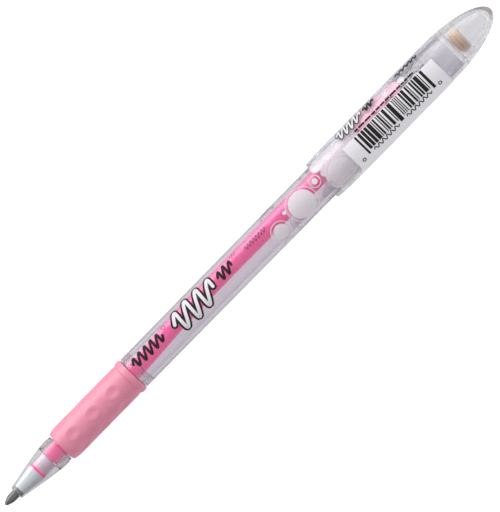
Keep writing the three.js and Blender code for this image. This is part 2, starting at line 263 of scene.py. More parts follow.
LONG_BAR_LENGTH = 5.4
BAR_TOP_GAP = 0.15
LONG_NEAR_START = 0.9  # bars this near to the row's start, end or middle are long
LONG_NEAR_END = 1.2
LONG_NEAR_MIDDLE = 0.5
BARS_LIFT = 0.005
MARKS_LIFT = -0.05
DIGIT_RING = (0.5, 0.27)  # radius, radius of its hole
DIGIT_RIPPLE = (0.5, 6.0, 0.0)  # height, turns, lean
DIGIT_WIDTH = 0.26
DASHES_UP = 0.8  # from the label's upper edge
DASH_LENGTHS = (0.4, 1.5)
DASH_GAP = 0.62
DASH_WIDTH = 0.5
LABEL_RIBBON_WIDTHS = (0.85, 0.38)  # black edge, white middle


# ---- frames ----

def frame_along(axis, origin):
    """Matrix from millimetres in a frame whose x runs along axis to metres in the row frame."""
    x = Vector(axis).normalized()
    z = x.cross(Vector((0, 1, 0))).normalized()
    y = z.cross(x)
    turn = Matrix((x, y, z)).transposed().to_4x4()
    return Matrix.Translation(origin) @ turn @ Matrix.Scale(MM, 4)


def pen_frame():
    turn = JOINTS["cap_turn"]
    axis = Vector(turn["axis"])
    on_axis = Vector(turn["pos_m"])
    ball = Vector(JOINTS["ball_roll"]["pos_m"])
    return frame_along(axis, on_axis + (ball - on_axis).dot(axis) * axis)


def refill_frame():
    axis = -Vector(JOINTS["refill_slide"]["axis"])
    return frame_along(axis, Vector(JOINTS["ball_roll"]["pos_m"]))


PEN = pen_frame()
REFILL = refill_frame()


def points_of(node, place=PEN):
    """A CAD node's vertices in a frame's millimetres."""
    back = place.inverted()
    return [back @ v.co for v in frame["nodes"][node].data.vertices]


def span(node, place=PEN):
    """A CAD node's first and last station along a frame's x, and its greatest radius."""
    points = points_of(node, place)
    along = [p.x for p in points]
    return min(along), max(along), max(math.hypot(p.y, p.z) for p in points)


CORE_SPAN = span("grip_core")
GRIP_SPAN = span("grip_sleeve")
BARREL_SPAN = span("barrel")


# ---- shaping ----

def softened(corners, steps=FILLET_STEPS, closed=True):
    """Profile from corners (x, radius, rounding): each corner is rounded over that length."""
    points = []
    count = len(corners)
    for i, (x, r, rounding) in enumerate(corners):
        here = Vector((x, r))
        inner = closed or 0 < i < count - 1
        if rounding <= 0 or not inner:
            points.append((x, r))
            continue
        before = Vector(corners[i - 1][:2])
        after = Vector(corners[(i + 1) % count][:2])
        reach_in = min(rounding, CORNER_SHARE * (before - here).length)
        reach_out = min(rounding, CORNER_SHARE * (after - here).length)
        a = here + (before - here).normalized() * reach_in
        c = here + (after - here).normalized() * reach_out
        for k in range(steps + 1):
            t = k / steps
            p = (1 - t) ** 2 * a + 2 * t * (1 - t) * here + t * t * c
            points.append((p.x, p.y))
    return points


def stations(start, end, step):
    count = max(1, round((end - start) / step))
    return [start + (end - start) * i / count for i in range(count + 1)]


def angles(end, steps):
    """Angles from 0 to end, both included."""
    return [end * k / steps for k in range(steps + 1)]


def clamped(t):
    return min(1.0, max(0.0, t))


def smoothstep(a, b, x):
    t = clamped((x - a) / (b - a))
    return t * t * (3 - 2 * t)


def ring_faces(bm, a, b):
    """Joins two rings of vertices. A ring of one vertex is a point on the axis."""
    count = max(len(a), len(b))
    for k in range(count):
        n = (k + 1) % count
        if len(a) == 1:
            bm.faces.new((a[0], b[n], b[k]))
        elif len(b) == 1:
            bm.faces.new((a[k], a[n], b[0]))
        else:
            bm.faces.new((a[k], a[n], b[n], b[k]))


def lathe(profile, facets=ROUND, relief=None):
    """A body turned about x. The profile is closed, or starts and ends on the axis."""
    bm = bmesh.new()
    rings = []
    for x, r in profile:
        if r < 1e-6:
            rings.append([bm.verts.new((x, 0, 0))])
            continue
        ring = []
        for k in range(facets):
            angle = TAU * k / facets
            rr = relief(x, r, angle) if relief else r
            ring.append(bm.verts.new((x, rr * math.sin(angle), rr * math.cos(angle))))
        rings.append(ring)
    for a, b in zip(rings, rings[1:]):
        ring_faces(bm, a, b)
    if len(rings[0]) > 1:
        ring_faces(bm, rings[-1], rings[0])
    return bm


def add_piece(name, bm, body, material, nodes=(), place=PEN, bend=None, ride=True):
    """Turns a bmesh in a frame's millimetres into a piece of the pen that rides on a body."""
    if bend:
        for v in bm.verts:
            v.co = bend(v.co)
    bmesh.ops.recalc_face_normals(bm, faces=bm.faces)
    mesh = bpy.data.meshes.new(name)
    bm.to_mesh(mesh)
    bm.free()
    mesh.transform(place)
    mesh.polygons.foreach_set("use_smooth", [True] * len(mesh.polygons))
    mesh.set_sharp_from_angle(angle=SHARP)
    mesh.materials.append(material)
    piece = bpy.data.objects.new(name, mesh)
    bpy.context.scene.collection.objects.link(piece)
    if ride:
        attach(piece, body)
    if nodes:
        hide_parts(*nodes)
    return piece


# ---- materials ----

MIX_A = 6  # colour sockets of the Mix node
MIX_B = 7
MIX_RESULT = 2


class Surface:
    """A node material with one Principled shader and small helpers for its procedural detail."""

    def __init__(self, name, **constants):
        self.material = bpy.data.materials.new(name)
        self.material.use_nodes = True
        self.nodes = self.material.node_tree.nodes
        self.links = self.material.node_tree.links
        self.shader = self.nodes["Principled BSDF"]
        self.output = self.nodes["Material Output"]
        for key, value in constants.items():
            self.shader.inputs[key.replace("_", " ")].default_value = value
        self.place = self.nodes.new("ShaderNodeTexCoord")

    def noise(self, size_mm, detail=3.0, stretch=(1, 1, 1)):
        scaling = self.nodes.new("ShaderNodeMapping")
        scaling.inputs["Scale"].default_value = stretch
        texture = self.nodes.new("ShaderNodeTexNoise")
        texture.inputs["Scale"].default_value = 1 / (size_mm * MM)
        texture.inputs["Detail"].default_value = detail
        self.links.new(self.place.outputs["Object"], scaling.inputs["Vector"])
        self.links.new(scaling.outputs["Vector"], texture.inputs["Vector"])
        return texture.outputs["Fac"]

    def ramp(self, source, low, high, start=0.3, end=0.7):
        """Colour that goes from low to high as the source goes from start to end."""
        node = self.nodes.new("ShaderNodeValToRGB")
        node.color_ramp.elements[0].position = start
        node.color_ramp.elements[1].position = end
        node.color_ramp.elements[0].color = (*low, 1)
        node.color_ramp.elements[1].color = (*high, 1)
        self.links.new(source, node.inputs["Fac"])
        return node.outputs["Color"]

    def level(self, source, low, high):
        """Number that goes from low to high with the source."""
        node = self.nodes.new("ShaderNodeMapRange")
        node.inputs["From Min"].default_value = 0.3
        node.inputs["From Max"].default_value = 0.7
        node.inputs["To Min"].default_value = low
        node.inputs["To Max"].default_value = high
        self.links.new(source, node.inputs["Value"])
        return node.outputs["Result"]

    def painted_edge_shade(self, colour, edge, start=0.15, full=0.75):
        """The colour, darker where the surface turns away: painted edge shade, standing in mostly for the
        dark surroundings that the edges bend into view; the longer way through there is only a small part
        of it.
        """
        turn = self.nodes.new("ShaderNodeLayerWeight")
        turn.inputs["Blend"].default_value = 0.5
        shade = self.ramp(turn.outputs["Facing"], (1.0, 1.0, 1.0), edge, start, full)
        product = self.nodes.new("ShaderNodeMix")
        product.data_type = "RGBA"
        product.blend_type = "MULTIPLY"
        product.inputs[0].default_value = 1.0
        self.links.new(colour, product.inputs[MIX_A])
        self.links.new(shade, product.inputs[MIX_B])
        return product.outputs[MIX_RESULT]

    # Painted glow: emission that brightens a surface in place of light it doesn't get; the piece is no
    # lamp.
    def painted_glow(self, colour, strength):
        self.shader.inputs["Emission Color"].default_value = (*colour, 1)
        self.shader.inputs["Emission Strength"].default_value = strength

    def drive(self, socket, source):
        self.links.new(source, self.shader.inputs[socket])

    def bump(self, source, height_mm, strength=1.0):
        node = self.nodes.new("ShaderNodeBump")
        node.inputs["Distance"].default_value = height_mm * MM
        node.inputs["Strength"].default_value = strength
        self.links.new(source, node.inputs["Height"])
        self.links.new(node.outputs["Normal"], self.shader.inputs["Normal"])

    def let_lamps_through(self, colour):
        """Light from lamps passes straight through the clear piece, tinted."""
        path = self.nodes.new("ShaderNodeLightPath")
        mix = self.nodes.new("ShaderNodeMixShader")
        gap = self.nodes.new("ShaderNodeBsdfTransparent")
        gap.inputs["Color"].default_value = (*colour, 1)
        self.links.new(path.outputs["Is Shadow Ray"], mix.inputs[0])
        self.links.new(self.shader.outputs[0], mix.inputs[1])
        self.links.new(gap.outputs[0], mix.inputs[2])
        self.links.new(mix.outputs[0], self.output.inputs["Surface"])


def clear_plastic(name, low, high, rough, ior=1.52, edge=(0.66, 0.63, 0.69), alpha=1.0, clear=0.985):
    surface = Surface(name, IOR=ior, Transmission_Weight=clear, Alpha=alpha)
    swirl = surface.noise(9.0, 2.0, (0.25, 1, 1))
    # Base colour with painted edge shade: it darkens toward the edge colour where the surface turns away.
    surface.drive("Base Color", surface.painted_edge_shade(surface.ramp(swirl, low, high), edge))
    surface.drive("Roughness", surface.level(surface.noise(1.1, 4.0), *rough))
    surface.bump(swirl, 0.004)
    surface.let_lamps_through(tuple(0.5 + 0.5 * c for c in high))
    return surface.material


def grip_rubber():
    surface = Surface(
        "pink_rubber", Specular_IOR_Level=0.35,
        Sheen_Weight=0.2, Sheen_Roughness=0.6, Sheen_Tint=(1.0, 0.8, 0.88, 1),
        Coat_Weight=1.0, Coat_Roughness=0.5, Coat_IOR=2.3,
        Subsurface_Weight=0.12, Subsurface_Radius=(1.0, 0.45, 0.5), Subsurface_Scale=0.6 * MM,
    )
    cloud = surface.noise(2.5, 3.0)
    surface.drive("Base Color", surface.ramp(cloud, (0.785, 0.16, 0.29), (0.835, 0.195, 0.33)))
    surface.drive("Roughness", surface.level(surface.noise(0.6, 3.0), 0.55, 0.7))
    surface.bump(surface.noise(0.12, 2.0), 0.006, 0.6)
    return surface.material


def ink_gel():
    surface = Surface("pink_gel_ink", Specular_IOR_Level=0.1)
    cloud = surface.noise(1.8, 3.0, (0.2, 1, 1))
    surface.drive("Base Color", surface.ramp(cloud, (0.93, 0.02, 0.28), (0.97, 0.045, 0.35)))
    surface.drive("Roughness", surface.level(cloud, 0.5, 0.65))
    # Painted glow on the ink keeps it bright where little light reaches it through the clear layers.
    surface.painted_glow((1.0, 0.05, 0.33), 0.27)
    return surface.material


def turned_steel():
    surface = Surface("turned_steel", Metallic=1.0)
    rings = surface.noise(0.1, 2.0, (1, 0.02, 0.02))
    surface.drive("Base Color", surface.ramp(rings, (0.15, 0.145, 0.14), (0.23, 0.225, 0.22)))
    surface.drive("Roughness", surface.level(rings, 0.25, 0.38))
    surface.bump(rings, 0.004, 0.5)
    return surface.material


def ball_metal():
    surface = Surface("hard_metal", Metallic=1.0)
    cloud = surface.noise(0.3)
    surface.drive("Base Color", surface.ramp(cloud, (0.3, 0.24, 0.27), (0.42, 0.36, 0.39)))
    surface.drive("Roughness", surface.level(surface.noise(0.2), 0.12, 0.22))
    return surface.material


def satin_white(name, low, high):
    surface = Surface(name, Specular_IOR_Level=0.5)
    surface.drive("Base Color", surface.ramp(surface.noise(1.5), low, high))
    surface.drive("Roughness", surface.level(surface.noise(0.5), 0.32, 0.45))
    surface.bump(surface.noise(0.3), 0.003, 0.5)
    return surface.material


def cloudy_plastic():
    surface = Surface("cloudy_tube_plastic", IOR=1.5, Transmission_Weight=0.985)
    cloud = surface.noise(4.0, 2.0, (0.3, 1, 1))
    surface.drive("Base Color", surface.ramp(cloud, (0.93, 0.9, 0.93), (0.97, 0.95, 0.97)))
    surface.drive("Roughness", surface.level(surface.noise(0.8), 0.08, 0.16))
    surface.let_lamps_through((0.95, 0.93, 0.95))
    return surface.material


def grease():
    surface = Surface("clear_grease", IOR=1.4, Transmission_Weight=0.9)
    cloud = surface.noise(1.2, 3.0)
    surface.drive("Base Color", surface.ramp(cloud, (0.93, 0.9, 0.82), (0.97, 0.95, 0.9)))
    surface.drive("Roughness", surface.level(cloud, 0.05, 0.15))
    surface.let_lamps_through((0.95, 0.93, 0.9))
    return surface.material


def seal_rubber():
    surface = Surface("tan_rubber", Specular_IOR_Level=0.3)
    bands = surface.noise(0.45, 1.0, (1, 0.02, 0.02))
    surface.drive("Base Color", surface.ramp(bands, (0.5, 0.33, 0.22), (0.7, 0.51, 0.38)))
    surface.drive("Roughness", surface.level(surface.noise(0.3), 0.6, 0.8))
    surface.bump(surface.noise(0.2), 0.01, 0.6)
    return surface.material


def print_ink(name, low, high, alpha=1.0, painted_glow=0.0):
    surface = Surface(name, Specular_IOR_Level=0.15, Alpha=alpha)
    speckle = surface.noise(0.35, 3.0)
    surface.drive("Base Color", surface.ramp(speckle, low, high))
    surface.drive("Roughness", surface.level(speckle, 0.3, 0.45))
    # The films' painted glow lifts them where light through the clear layers falls short.
    surface.painted_glow(high, painted_glow)
    return surface.material


# Each piece's edge colour is the painted edge shade at its silhouette.
CLEAR_BARREL = clear_plastic(
    "clear_barrel", (0.9, 0.885, 0.925), (0.94, 0.93, 0.955), (0.02, 0.06), edge=(0.59, 0.56, 0.615),
)
CLEAR_CAP = clear_plastic(
    "clear_cap", (0.9, 0.895, 0.915), (0.945, 0.94, 0.955), (0.03, 0.08), 1.46, (0.84, 0.83, 0.86), 0.8,
)
CLEAR_PLUG = clear_plastic(
    "clear_plug", (0.95, 0.95, 0.96), (0.98, 0.98, 0.985), (0.1, 0.2), 1.4, (0.95, 0.95, 0.96), 0.35, 0.65,
)
CLEAR_NOSE = clear_plastic("clear_nose", (0.89, 0.9, 0.91), (0.94, 0.95, 0.955), (0.03, 0.08))
CLEAR_CORE = clear_plastic(
    "clear_core", (0.92, 0.88, 0.92), (0.96, 0.93, 0.96), (0.04, 0.1), 1.52, (0.9, 0.88, 0.91), 0.3,
)
PINK_RUBBER = grip_rubber()
PINK_INK = ink_gel()
STEEL = turned_steel()
BALL = ball_metal()
WHITE_PLASTIC = satin_white("satin_white_plastic", (0.7, 0.745, 0.76), (0.77, 0.81, 0.82))
INKY_PLASTIC = satin_white("inky_white_plastic", (0.84, 0.66, 0.75), (0.9, 0.75, 0.83))
TUBE = cloudy_plastic()
GREASE = grease()
SEAL = seal_rubber()
BLACK_PRINT = print_ink("black_print", (0.012, 0.011, 0.012), (0.03, 0.028, 0.03))
GREY_PRINT = print_ink("grey_print", (0.06, 0.03, 0.05), (0.1, 0.06, 0.08))
# The last number of these films is their painted glow.
WHITE_PRINT = print_ink("white_print", (0.7, 0.67, 0.7), (0.78, 0.75, 0.78), 1.0, 0.1)
BUBBLE_PRINT = print_ink("bubble_print", (0.6, 0.55, 0.59), (0.68, 0.63, 0.67), 0.93, 0.22)
LABEL_FILM = print_ink("label_film", (0.66, 0.65, 0.67), (0.71, 0.7, 0.72), 0.88, 0.29)
HAZE_PRINT = print_ink("haze_print", (0.62, 0.58, 0.62), (0.68, 0.64, 0.68), 0.62, 0.26)
PINK_PRINT = print_ink("pink_print", (0.8, 0.4, 0.52), (0.88, 0.5, 0.62), 0.6, 0.25)


# ---- refill ----

def bow_at(x):
    rise = smoothstep(BOW_START, BOW_FULL, x)
    fall = clamped((BOW_END - x) / (BOW_END - BOW_FULL))
    return BOW * rise * smoothstep(0, 1, fall)


def bowed(co):
    return Vector((co.x, co.y + bow_at(co.x), co.z))


def build_ball():
    start, end, _ = span("tip_ball", REFILL)
    middle = (start + end) / 2
    profile = [(middle - BALL_R * math.cos(a), BALL_R * math.sin(a)) for a in angles(math.pi, 24)]
    profile[0] = (middle - BALL_R, 0)
    profile[-1] = (middle + BALL_R, 0)
    bm = lathe(profile, ROUND_BALL)
    add_piece("writing_ball", bm, "ball", BALL, ["tip_ball"], REFILL)


def build_point():
    start, end, radius = span("point_tip", REFILL)
    taper = POINT_R - POINT_LIP_R
    cone = [
        (start + (POINT_CONE - start) * t, POINT_R - taper * (1 - t) ** POINT_CONE_SWELL, 0)
        for t in POINT_CONE_SHARES
    ]
    corners = cone + [
        (POINT_CONE + 0.1, POINT_R, 0.1),
        (SHOULDER_STEP - 0.05, POINT_R, 0.05),
        (SHOULDER_STEP + 0.15, radius, 0.12),
        (SHOULDER_END, radius, 0.08),
        (SHOULDER_END, STUB_R, 0),
        (end, STUB_R, 0.05),
        (end, POINT_BORE_R, 0),
        (POINT_BORE_START, POINT_BORE_R, 0),
        (POINT_THROAT_END, POINT_THROAT_R, 0),
        (POINT_CUP_DEPTH, POINT_THROAT_R, 0),
        (-start, POINT_CUP_EDGE_R, 0),
        (0, POINT_CUP_R, 0),
        (start, POINT_CUP_EDGE_R, 0),
    ]
    bm = lathe(softened(corners), ROUND_FINE)
    add_piece("metal_point", bm, "refill", STEEL, ["point_tip"], REFILL)


def build_holder():
    start, end, _ = span("tip_holder", REFILL)
    cone = [
        (start, HOLDER_FRONT_R, 0.12),
        (HOLDER_CONE_END - 0.5, HOLDER_REAR_R, 0.3),
        (HOLDER_CONE_END, HOLDER_REAR_R, 0.15),
        (HOLDER_CONE_END, CHANNEL_R, 0),
        (CHANNEL_START, CHANNEL_R, 0),
        (HOLDER_BORE_END, STUB_R + STUB_GAP, 0),
        (start, STUB_R + STUB_GAP, 0.05),
    ]
    bm = lathe(softened(cone), ROUND_FINE)
    add_piece("tip_holder_cone", bm, "refill", WHITE_PLASTIC, ["tip_holder"], REFILL)
    spigot = [
        (HOLDER_CONE_END - HOLDER_OVERLAP, WET_R, 0),
        (end, WET_R, 0.2),
        (end, CHANNEL_R, 0),
        (HOLDER_CONE_END - HOLDER_OVERLAP, CHANNEL_R, 0),
    ]
    bm = lathe(softened(spigot), ROUND_FINE)
    add_piece("tip_holder_spigot", bm, "refill", INKY_PLASTIC, place=REFILL)


def build_painted_ink_refraction():
    """A pink ring at the joint between the holder and the tube: painted refraction of the ink in the
    tube's end face.
    """
    start = HOLDER_CONE_END + 0.005
    end = span("refill_tube", REFILL)[0] + PAINTED_RING_LENGTH
    corners = [
        (start, PAINTED_RING_R, 0.04),
        (end, PAINTED_RING_R, 0.04),
        (end, PAINTED_RING_REAR_R, 0),
        (start, WET_R, 0),
    ]
    bm = lathe(softened(corners), ROUND_FINE)
    add_piece("painted_ink_refraction", bm, "refill", PINK_INK, place=REFILL)


def build_tube():
    start, end, radius = span("refill_tube", REFILL)
    outer = [(x, radius) for x in stations(start + TUBE_EDGE, end - TUBE_EDGE, LONG_STEP)]
    inner = [(x, TUBE_BORE_R) for x in reversed(stations(start, end, LONG_STEP))]
    profile = [(start, radius - TUBE_EDGE)] + outer + [(end, radius - TUBE_EDGE)] + inner
    bm = lathe(profile, ROUND_FINE)
    add_piece("refill_tube_bowed", bm, "refill", TUBE, ["refill_tube"], REFILL, bowed)


def build_ink():
    start, end, _ = span("ink_column", REFILL)
    profile = [(start, 0), (start, WET_R)]
    profile += [(x, WET_R) for x in stations(start + 1.0, end - INK_END, LONG_STEP)]
    profile += [
        (end - INK_END + INK_END * math.sin(a), WET_R * math.cos(a))
        for a in angles(QUARTER, 8)[1:-1]
    ]
    profile.append((end, 0))
    piece = add_piece(
        "ink_gel_column", lathe(profile, ROUND_FINE), "refill", PINK_INK,
        ["ink_column"], REFILL, bowed,
    )
    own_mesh(piece)


def build_follower():
    start, end, _ = span("ink_follower", REFILL)
    radius = TUBE_BORE_R - GREASE_GAP
    hollow = start + GREASE_HOLLOW
    profile = [(hollow, 0)]
    profile += [
        (hollow - GREASE_DIP * (1 - math.cos(a)), radius * math.sin(a))
        for a in angles(QUARTER, 8)[1:-1]
    ]
    profile[-1] = (start, radius)
    profile += [(x, radius) for x in stations(start + 0.3, end - 0.1, 0.5)]
    profile += [(end, radius - 0.15), (end - 0.25, 0.6), (end - 0.35, 0)]
    bm = lathe(profile, ROUND_FINE)
    add_piece("grease_plug", bm, "follower", GREASE, ["ink_follower"], REFILL)


# ---- nose, grip and barrel ----

def build_nose():
    start, end, radius = span("nose_cone")
    outer = []
    for x in stations(start + 0.12, NOSE_FLANGE_START, 0.5):
        left = 1 - min(1, (x - start) / (NOSE_FLANGE_START - start))
        outer.append((x, NOSE_FRONT_R + (radius - NOSE_FRONT_R) * (1 - left ** NOSE_SWELL), 0))
    thread = [
        (x, NOSE_THREAD_R + NOSE_THREAD_WAVE * (0.5 - 0.5 * math.cos(TAU * x / THREAD_PITCH)), 0)
        for x in reversed(stations(THREAD_START + 0.1, end - 0.35, NOSE_THREAD_STEP))
    ]
    corners = [(start, NOSE_FRONT_R - 0.12, 0)] + outer + [
        (NOSE_FLANGE_END, radius, 0.15),
        (NOSE_FLANGE_END + 0.2, radius - NOSE_GROOVE, 0.1),
        (end, radius - NOSE_GROOVE, 0.08),
        (end, NOSE_THREAD_R + 0.05, 0.05),
    ] + thread + [
        (THREAD_START - 0.1, NOSE_SEAT_REAR_R + 0.12, 0.1),
        (NOSE_SEAT_REAR, NOSE_SEAT_REAR_R, 0.6),
        (NOSE_SEAT_CONE, NOSE_SEAT_R, 0.3),
        (NOSE_SEAT_START, NOSE_SEAT_R - 0.02, 0.1),
        (NOSE_HOLE_END, NOSE_HOLE_R + 0.12, 0.05),
        (start, NOSE_HOLE_R, 0.05),
    ]
    bm = lathe(softened(corners, FEW_FILLET_STEPS))
    add_piece("nose_cone_clear", bm, "nose", CLEAR_NOSE, ["nose_cone"])


def thread_relief(x, r, angle):
    """A real helical thread where the core's plain thread zone is."""
    start = CORE_SPAN[0] + THREAD_FROM
    end = CORE_SPAN[0] + THREAD_TO
    if r < THREAD_ROOT_R - 0.05 or r > THREAD_R + 0.01 or not start <= x <= end:
        return r
    fade = smoothstep(start, start + THREAD_FADE, x) * (1 - smoothstep(end - THREAD_FADE, end, x))
    phase = (x / THREAD_PITCH + angle / TAU) % 1.0
    ridge = smoothstep(0.05, 0.35, phase) * (1 - smoothstep(0.55, 0.85, phase))
    return THREAD_R - THREAD_DEPTH * (1 - ridge * fade)


def build_core():
    start, end, _ = CORE_SPAN
    grip_start, grip_end, _ = GRIP_SPAN
    thread = [
        (x, THREAD_ROOT_R, 0) for x in stations(start + THREAD_FROM, start + THREAD_TO, THREAD_STEP)
    ]
    corners = [(start, THREAD_ROOT_R - 0.08, 0.04)] + thread + [
        (grip_start - NECK_LEAD, THREAD_ROOT_R, 0),
        (grip_start - NECK_LEAD, NECK_R, 0.08),
        (grip_end + NECK_TAIL, NECK_R, 0),
        (grip_end + NECK_TAIL, SPIGOT_R, 0.05),
        (end - 0.3, SPIGOT_R, 0.1),
        (end, SPIGOT_R - 0.15, 0.05),
        (end - SPIGOT_CHAMFER, CORE_BORE_R, 0.3),
        (start, CORE_BORE_R, 0.05),
    ]
    bm = lathe(softened(corners, FEW_FILLET_STEPS), ROUND, thread_relief)
    add_piece("grip_core_clear", bm, "barrel", CLEAR_CORE, ["grip_core"])


def grip_relief(x, r, angle):
    """The sleeve's outside sinks in its dimples and swells a little at their rims."""
    behind_front = x - GRIP_SPAN[0]
    if r <= GRIP_R - 0.01 or behind_front >= DIMPLED_LENGTH:
        return r
    sink = 0.0
    pitch = TAU / DIMPLE_ROWS
    off = (angle - DIMPLE_TURN + pitch / 2) % pitch - pitch / 2
    for at in DIMPLES_AT:
        far = math.hypot((behind_front - at) / DIMPLE_LENGTH, r * off / DIMPLE_WIDTH)
        if far < 1:
            sink += DIMPLE_DEPTH * (1 - far * far) ** 2
        if far < RIM_REACH:
            sink -= DIMPLE_RIM * math.exp(-(((far - RIM_AT) / RIM_WIDTH) ** 2))
    return r - sink


def build_grip():
    start, end, bead_r = GRIP_SPAN
    flat_end = end - BEAD_LENGTH
    front = [
        (start + GRIP_ROUND * (1 - math.cos(a)), GRIP_FRONT_R + (GRIP_R - GRIP_FRONT_R) * math.sin(a))
        for a in angles(QUARTER, 14)
    ]
    flat = [(x, GRIP_R) for x in stations(start + GRIP_ROUND + 0.1, flat_end - 0.6, GRIP_STEP)]
    groove = [
        (flat_end - 0.3, GRIP_R - 0.03),
        (flat_end - 0.05, GRIP_R - 0.12),
        (flat_end + 0.2, GRIP_R - 0.11),
    ]
    bead_start = flat_end + 0.25
    half = (end - bead_start) / 2
    foot_r = GRIP_R - BEAD_FOOT
    bead = [
        (bead_start + half * (1 - math.cos(a)), foot_r + (bead_r - foot_r) * math.sin(a))
        for a in angles(math.pi, 16)[1:-2]
    ]
    inside = [
        (end - 0.05, GRIP_R - 0.35),
        (end, GRIP_R - 0.5),
        (end, GRIP_BORE_R),
        (start, GRIP_BORE_R),
        (start, GRIP_FRONT_R - 0.15),
    ]
    bm = lathe(front + flat + groove + bead + inside, ROUND_GRIP, grip_relief)
    add_piece("grip_sleeve_soft", bm, "barrel", PINK_RUBBER, ["grip_sleeve"])


def barrel_radius(x):
    start, _, full = BARREL_SPAN
    share = clamped((x - start) / (BARREL_FULL_AT - start))
    return BARREL_FRONT_R + (full - BARREL_FRONT_R) * share


def build_barrel():
    start, end, full = BARREL_SPAN
    corners = [
        (start, barrel_radius(start), 0.12),
        (BARREL_FULL_AT, full, 6.0),
        (end, full, 0.25),
        (end, BORE_R, 0.1),
        (start, BORE_R, 0.05),
    ]
    bm = lathe(softened(corners), ROUND)
    add_piece("barrel_clear", bm, "barrel", CLEAR_BARREL, ["barrel"])


def build_plug():
    start, end, radius = span("rear_plug")
    flange = end - PLUG_FLANGE
    corners = [
        (start, PLUG_SPIGOT_R, 0.3),
        (flange, PLUG_SPIGOT_R, 0),
        (flange, radius, 0.08),
        (end, radius, 0.2),
        (end, PLUG_VENT_R, 0.1),
        (flange, PLUG_VENT_R, 0),
        (flange, PLUG_BORE_R, 0.3),
        (start, PLUG_BORE_R, 0.1),
    ]
    bm = lathe(softened(corners), ROUND_FINE)
    add_piece("rear_plug_clear", bm, "barrel", CLEAR_PLUG, ["rear_plug"])


# ---- cap ----

def build_cap():
    start, end, _ = span("cap_shell")
    seat_start, seat_end, seal_r = span("tip_seal")
    dome_start = end - DOME_LENGTH
    dome = [
        (dome_start + DOME_LENGTH * math.sin(a), DOME_R * math.cos(a), 0)
        for a in angles(QUARTER, DOME_STEPS)[:-1]
    ]
    hollow_end = end - CORE_OUT_END_GAP
    hollow = [
        (hollow_end - CORE_OUT_ROUND * (1 - math.cos(a)), CORE_OUT_ROUND_R * math.sin(a), 0)
        for a in angles(QUARTER, 10)[1:-1]
    ]
    outside = [
        (start, CAP_MOUTH_R - 0.1, 0.1),
        (start + 0.15, CAP_MOUTH_R, 0.1),
        (start + 1.8, (CAP_MOUTH_R + CAP_R) / 2 + 0.03, 1.2),
        (start + CAP_SWELL, CAP_R, 2.5),
        (dome_start - 2.0, CAP_R - 0.03, 1.5),
    ] + dome + [(end, 0, 0)]
    inside = [(hollow_end, 0, 0)] + hollow + [
        (seat_end + 0.2, CORE_OUT_R, 0.2),
        (seat_end + 0.2, seal_r + SEAT_GAP, 0),
        (seat_start + 0.15, seal_r + SEAT_GAP, 0.2),
        (seat_start + 0.15, CAP_STEP_R, 0.3),
        (dome_start + 1.4, CAP_BORE_R, 1.2),
        (start, CAP_BORE_R, 0.1),
    ]
    shell = softened(outside, FILLET_STEPS, False)
    bore = softened(inside, FILLET_STEPS, False)
    # From the dome's tip over the outside to the mouth, then along the bore back to the axis.
    bm = lathe(shell[::-1] + bore[::-1], ROUND)
    add_piece("cap_shell_clear", bm, "cap", CLEAR_CAP, ["cap_shell"])


def build_seal():
    start, end, radius = span("tip_seal")
    corners = [
        (start, 0, 0),
        (start + 0.08, radius * 0.45, 0.4),
        (start + 0.75, radius, 0.7),
    ]
    for at in SEAL_RIBS_AT:
        corners += [
            (start + at - 0.1, radius, 0),
            (start + at, radius - SEAL_RIB_DEPTH, 0),
            (start + at + 0.1, radius, 0),
        ]
    corners += [(end, radius, 0.1), (end, 0, 0)]
    bm = lathe(softened(corners, FILLET_STEPS, False), ROUND_FINE)
    add_piece("tip_seal_pad", bm, "seal", SEAL, ["tip_seal"])


def build_clip():
    """Clip and root in one: a long bar whose outer face lies on the table plane, with rounded
    edges, a bump near its free end, and a root that grows out of the cap."""
    points = points_of("pocket_clip")
    x0 = min(p.x for p in points)
    x1 = max(p.x for p in points)
    half = max(abs(p.y) for p in points)
    free = min((p for p in points if p.x < x0 + 1.0), key=lambda p: p.z)
    root = min((p for p in points if p.x > x1 - 1.0), key=lambda p: p.z)
    slope = (root.z - free.z) / (root.x - free.x)
    root_start = x1 - CLIP_ROOT_LENGTH

    def outer(x):
        return free.z + slope * (x - free.x) + TABLE_GAP

    def inner(x):
        body = outer(x) + CLIP_THICK
        bump = CLIP_BUMP * math.exp(-(((x - x0 - CLIP_BUMP_AT) / CLIP_BUMP_LENGTH) ** 2))
        rooted = smoothstep(root_start - CLIP_ROOT_SWEEP, root_start, x)
        cap_side = CLIP_ROOT_DEPTH - CAP_R
        return body + bump * (1 - rooted) + (cap_side - body) * rooted

    def width(x):
        free_end = 1 - 0.5 * (1 - smoothstep(0, 1.6, x - x0)) ** 2
        tail = 1 - 0.35 * (1 - smoothstep(0, 1.2, x1 - x)) ** 2
        return half * free_end * tail

    bm = bmesh.new()
    rings = []
    for x in stations(x0 + 0.02, x1 - 0.02, CLIP_STEP):
        top, bottom, w = inner(x), outer(x), width(x)
        edge = min(CLIP_EDGE, 0.4 * (top - bottom))
        high, low, side = top - edge, bottom + edge, w - edge
        ring = []
        for first, (cy, cz) in enumerate(((side, high), (-side, high), (-side, low), (side, low))):
            for k in range(5):
                a = QUARTER * (first + k / 4)
                ring.append(bm.verts.new((x, cy + edge * math.cos(a), cz + edge * math.sin(a))))
        rings.append(ring)
    for a, b in zip(rings, rings[1:]):
        ring_faces(bm, a, b)
    bm.faces.new(rings[0])
    bm.faces.new(rings[-1])
    piece = add_piece(
        "pocket_clip_clear", bm, "clip", CLEAR_CAP, ["pocket_clip"], ride=False,
    )
    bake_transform(piece)


# ---- thin printed films ----

